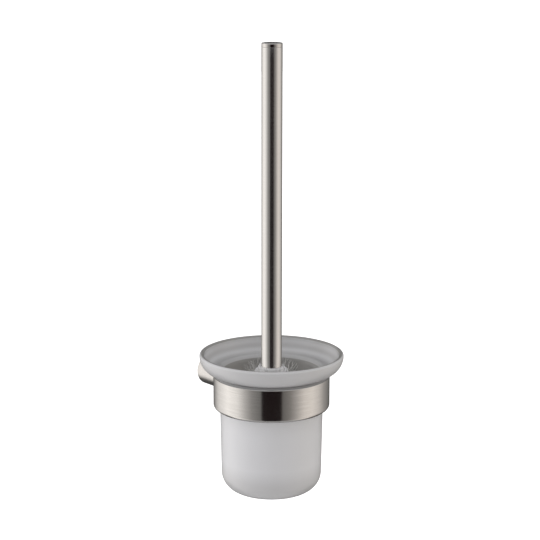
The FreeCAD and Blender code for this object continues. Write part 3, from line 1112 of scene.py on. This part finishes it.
    def tuft(self, length: float, flare: float, luck: random.Random, count: int) -> bpy.types.Mesh:
        """One tuft standing on the origin along Z.

        Args:
            length: the filaments' length.
            flare: how far the outer filaments lean out at their tips.
            luck: the source of small differences.
            count: how many filaments.

        Returns:
            The tuft's mesh data.
        """
        mesh = bmesh.new()
        for number in range(count):
            angle = number * GOLDEN_ANGLE
            share = math.sqrt((number + 0.5) / count)
            aim = Vector((math.cos(angle), math.sin(angle), 0.0)) * share
            root = aim * self.tuft_root
            reach = length * luck.uniform(*self.length_luck)
            lean = aim * flare * luck.uniform(*self.lean_luck)
            sway = Vector((luck.uniform(-1, 1), luck.uniform(-1, 1), 0.0)) * self.sway
            points = [root] + [
                root + lean * out + sway * side + Vector((0.0, 0.0, reach * up))
                for out, up, side in self.course
            ]
            self.filament_mesh(mesh, points)
        data = bpy.data.meshes.new("tuft")
        mesh.to_mesh(data)
        mesh.free()
        return data

    @staticmethod
    def plant(mesh: bmesh.types.BMesh, tuft: bpy.types.Mesh, root: Vector, aim: Vector) -> None:
        """Sets a copy of a tuft on the head.

        Args:
            mesh: the row that it is added to.
            tuft: the tuft's mesh data.
            root: where it stands.
            aim: which way it points.
        """
        start = len(mesh.verts)
        mesh.from_mesh(tuft)
        mesh.verts.ensure_lookup_table()
        turn = Matrix.Translation(root) @ aim.to_track_quat("Z", "Y").to_matrix().to_4x4()
        bmesh.ops.transform(mesh, matrix=turn, verts=mesh.verts[start:])

    def row(self, node: str, index: int) -> bmesh.types.BMesh:
        """One ring of tufts, its roots on the core and its tips on the head's outline.

        Args:
            node: the CAD solid that the row stands in for.
            index: its number, which sets its luck and its turn.

        Returns:
            The row's mesh, in place.
        """
        low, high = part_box(node)
        axis, reach = cup_axis(), radius_of(node)
        luck = random.Random(self.seed + index)
        length = reach - self.core - self.row_gap
        tufts = [
            self.tuft(length, self.row_flare, luck, self.filaments)
            for _ in range(self.tuft_kinds)
        ]
        mesh = bmesh.new()
        height = (low.z + high.z) / 2 - self.row_drop
        for number in range(self.tufts_round):
            angle = FULL_TURN * (number + 0.5 * (index % 2)) / self.tufts_round
            out = Vector((math.cos(angle), math.sin(angle), self.row_rise))
            root = axis + out * (self.core - self.tuft_sunk)
            root.z = height
            self.plant(mesh, tufts[number % self.tuft_kinds], root, out)
        return mesh

    def tip(self) -> bmesh.types.BMesh:
        """The tufts of the rounded bottom.

        Returns:
            The tip's mesh, in place.
        """
        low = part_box("bristle_tip")[0]
        axis = cup_axis()
        core_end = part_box("brush_core")[0].z + self.core
        luck = random.Random(self.tip_seed)
        mesh = bmesh.new()
        for ring, (slant, number) in enumerate(self.tip_rings):
            down = math.radians(slant)
            out, drop = math.cos(down), math.sin(down)
            room = (core_end - low.z - self.core - self.tuft_sunk) / max(drop, 0.35)
            side = (radius_of("bristle_tip") - self.core - self.tuft_root) / max(out, 0.2)
            tuft = self.tuft(min(room, side), self.tip_flare, luck, self.filaments)
            for count in range(number):
                angle = FULL_TURN * (count + 0.5 * ring) / number
                aim = Vector((math.cos(angle) * out, math.sin(angle) * out, -drop))
                root = axis + aim * (self.core - self.tuft_sunk)
                root.z += core_end
                self.plant(mesh, tuft, root, aim)
        return mesh

    def crown(self) -> bmesh.types.BMesh:
        """The top tufts, leaning steeply up and out round the collar.

        Returns:
            The crown's mesh, in place.
        """
        low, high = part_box("bristle_crown")
        axis = cup_axis()
        luck = random.Random(self.crown_seed)
        lean = (radius_of("bristle_crown") - self.core) * self.crown_lean
        rise = high.z - low.z
        mesh = bmesh.new()
        for number in range(self.crown_tufts):
            angle = FULL_TURN * (number + self.crown_turn) / self.crown_tufts
            aim = Vector((math.cos(angle) * lean, math.sin(angle) * lean, rise))
            length = aim.length * self.crown_length
            tuft = self.tuft(length, self.crown_flare, luck, self.crown_filaments)
            outward = Vector((math.cos(angle), math.sin(angle), 0.0))
            root = axis + outward * (self.core + self.crown_step)
            root.z = low.z + self.crown_lift
            self.plant(mesh, tuft, root, aim)
        return mesh


# ------------------------------------------------------------------------------ studio


def warm(strength: float, red: float = 0.03, blue: float = 0.035) -> Tone:
    """A near-white tone of a strength, a little warm."""
    return (strength * (1 + red), strength, strength * (1 - blue))


# The dark card in front, which draws the stripe down the middle of the steel.
CARD = (0.009, 0.004, 0.004)
DUSK = warm(0.03)
# Light round the horizon, by degrees from the camera's side: left is negative.
AROUND = [
    (-180, DUSK),
    (-168, warm(0.08)),
    (-150, warm(0.36)),
    (-128, warm(0.92)),
    (-97, warm(1.34)),
    (-72, warm(1.08)),
    (-54, warm(0.60)),
    (-40, warm(0.33)),
    (-27, warm(0.23)),
    (-20.5, warm(0.20)),
    (-19, CARD),
    (20, CARD),
    (21.5, warm(0.16, 0.06, 0.05)),
    (37, warm(0.26, 0.06, 0.06)),
    (50, warm(0.47, 0.06, 0.06)),
    (68, warm(0.82, 0.07, 0.07)),
    (88, warm(0.94, 0.07, 0.07)),
    (106, warm(0.76, 0.06, 0.06)),
    (126, warm(0.40, 0.05, 0.05)),
    (152, warm(0.18)),
    (168, warm(0.07)),
    (180, DUSK),
]
# The same light lower down, where it doesn't reach round behind.
LOWER = [(at, tone) for at, tone in AROUND if abs(at) < 100]
LOWER = [(-180, DUSK), (-120, DUSK), *LOWER, (120, DUSK), (180, DUSK)]
# How much of the light round the horizon shows at a height: -1 is straight down, 1 straight up.
SIDE_SHARE = [(-0.66, 0.0), (-0.4, 1.0), (0.35, 1.0), (0.75, 0.0)]
# How much of the lower light shows in what is left.
LOWER_SHARE = [(-0.88, 0.0), (-0.76, 1.0), (-0.1, 1.0), (0.1, 0.0)]
# The light straight below and straight above.
POLES = [(-0.2, (0.46, 0.46, 0.46)), (0.2, (0.70, 0.70, 0.71))]


@dataclass
class Studio:
    """Camera, floor, soft lights and the dark card that draws the stripe in the steel."""

    camera_place: Triple = (-0.898, -1.164, 0.417)
    camera_tilt: float = 77.563
    camera_roll: float = 0.08
    camera_heading: float = -39.84
    lens: float = 110.2
    floor_height: float = -0.9
    floor_reach: float = 12.0
    sensor: float = 36.0
    fill_distance: float = 1.6
    fill_size: float = 0.7

    def build(self) -> None:
        """Makes the camera, the floor and the lights."""
        scene = bpy.context.scene
        scene.view_settings.view_transform = "Standard"
        data = bpy.data.cameras.new("camera")
        data.lens, data.sensor_width = self.lens, self.sensor
        camera = bpy.data.objects.new("camera", data)
        camera.location = self.camera_place
        facing = Matrix.Rotation(math.radians(self.camera_heading), 3, "Z")
        tilt = Matrix.Rotation(math.radians(self.camera_tilt), 3, "X")
        roll = Matrix.Rotation(math.radians(self.camera_roll), 3, "Z")
        camera.rotation_euler = (facing @ tilt @ roll).to_euler()
        scene.collection.objects.link(camera)
        scene.camera = camera
        self.ground()
        self.sky()
        self.fill("left_fill", -48.0, 11.6, (1.0, 0.992, 1.03))
        self.fill("right_fill", 56.0, 7.7, (1.0, 0.99, 0.99))

    def ground(self) -> None:
        """A wide pale floor, and a pale wall far off all round it."""
        pale = StudioFloor().material()
        floor, wall = bmesh.new(), bmesh.new()
        bmesh.ops.create_circle(floor, cap_ends=True, segments=96, radius=self.floor_reach)
        bmesh.ops.translate(floor, vec=(0.0, 0.0, self.floor_height), verts=floor.verts[:])
        bmesh.ops.create_cone(
            wall,
            cap_ends=False,
            segments=96,
            radius1=self.floor_reach,
            radius2=self.floor_reach,
            depth=self.floor_reach * 2,
        )
        for name, mesh in (("studio_floor", floor), ("studio_wall", wall)):
            item = object_of(name, mesh)
            item.data.materials.append(pale)
            item.visible_glossy = item.visible_diffuse = False
            item.visible_transmission = item.visible_shadow = False

    def sky(self) -> None:
        """Soft light all round: bright at both sides, a dark card in front, dim behind."""
        world = bpy.data.worlds.new("studio_air")
        bpy.context.scene.world = world
        world.use_nodes = True
        tree = world.node_tree
        coords = tree.nodes.new("ShaderNodeTexCoord")
        turn = tree.nodes.new("ShaderNodeVectorRotate")
        turn.rotation_type = "Z_AXIS"
        turn.inputs["Angle"].default_value = -math.radians(self.camera_heading - 90.0)
        tree.links.new(coords.outputs["Generated"], turn.inputs["Vector"])
        round_about = tree.nodes.new("ShaderNodeTexGradient")
        round_about.gradient_type = "RADIAL"
        tree.links.new(turn.outputs["Vector"], round_about.inputs["Vector"])
        bearing = round_about.outputs["Fac"]
        sides, lower = (
            self.ramp(tree, bearing, [(0.5 + at / 360, tone) for at, tone in stops])
            for stops in (AROUND, LOWER)
        )
        split = tree.nodes.new("ShaderNodeSeparateXYZ")
        tree.links.new(coords.outputs["Generated"], split.inputs["Vector"])
        level = tree.nodes.new("ShaderNodeMapRange")
        level.inputs["From Min"].default_value = -1.0
        tree.links.new(split.outputs["Z"], level.inputs["Value"])
        height = level.outputs["Result"]
        side_share, lower_share = (
            self.ramp(tree, height, [(0.5 + at / 2, (part, part, part)) for at, part in stops])
            for stops in (SIDE_SHARE, LOWER_SHARE)
        )
        light = self.ramp(tree, height, [(0.5 + at / 2, tone) for at, tone in POLES])
        for share, layer in ((lower_share, lower), (side_share, sides)):
            mix = tree.nodes.new("ShaderNodeMix")
            mix.data_type = "RGBA"
            tree.links.new(share, mix.inputs["Factor"])
            tree.links.new(light, mix.inputs["A"])
            tree.links.new(layer, mix.inputs["B"])
            light = mix.outputs["Result"]
        tree.links.new(light, tree.nodes["Background"].inputs["Color"])

    @staticmethod
    def ramp(tree: bpy.types.NodeTree, value: Socket, stops: list[tuple[float, Tone]]) -> Socket:
        """A smooth colour ramp over a value.

        Args:
            tree: the node tree.
            value: what drives the ramp, from 0 to 1.
            stops: positions and their colours, in order.

        Returns:
            The colour socket.
        """
        node = tree.nodes.new("ShaderNodeValToRGB")
        tree.links.new(value, node.inputs["Fac"])
        elements = node.color_ramp.elements
        while len(elements) < len(stops):
            elements.new(0.5)
        for element, (position, tone) in zip(elements, stops):
            element.position = position
            element.color = (*tone, 1.0)
        return node.outputs["Color"]

    def fill(self, name: str, degrees: float, power: float, tone: Tone) -> None:
        """A broad soft fill light that the steel doesn't mirror.

        Args:
            name: the light's name.
            degrees: where it stands round the cup's axis, from the camera's side.
            power: its power in watts.
            tone: its colour.
        """
        data = bpy.data.lights.new(name, "AREA")
        data.shape = "DISK"
        data.size, data.energy, data.color = self.fill_size, power, tone
        light = bpy.data.objects.new(name, data)
        bearing = math.radians(self.camera_heading - 90.0 + degrees)
        axis, far = cup_axis(), self.fill_distance
        light.location = (axis.x + far * math.cos(bearing), axis.y + far * math.sin(bearing), 0.0)
        light.rotation_euler = (axis - light.location).to_track_quat("-Z", "Y").to_euler()
        light.visible_camera = False
        light.visible_glossy = False
        bpy.context.scene.collection.objects.link(light)


def main() -> None:
    """Builds the studio and every sub-assembly."""
    logging.basicConfig(level=logging.INFO, format="%(name)s: %(message)s")
    Studio().build()
    Holder().build()
    GlassCup().build()
    Handle().build()
    BrushHead().build()


if __name__ == "__main__":
    main()
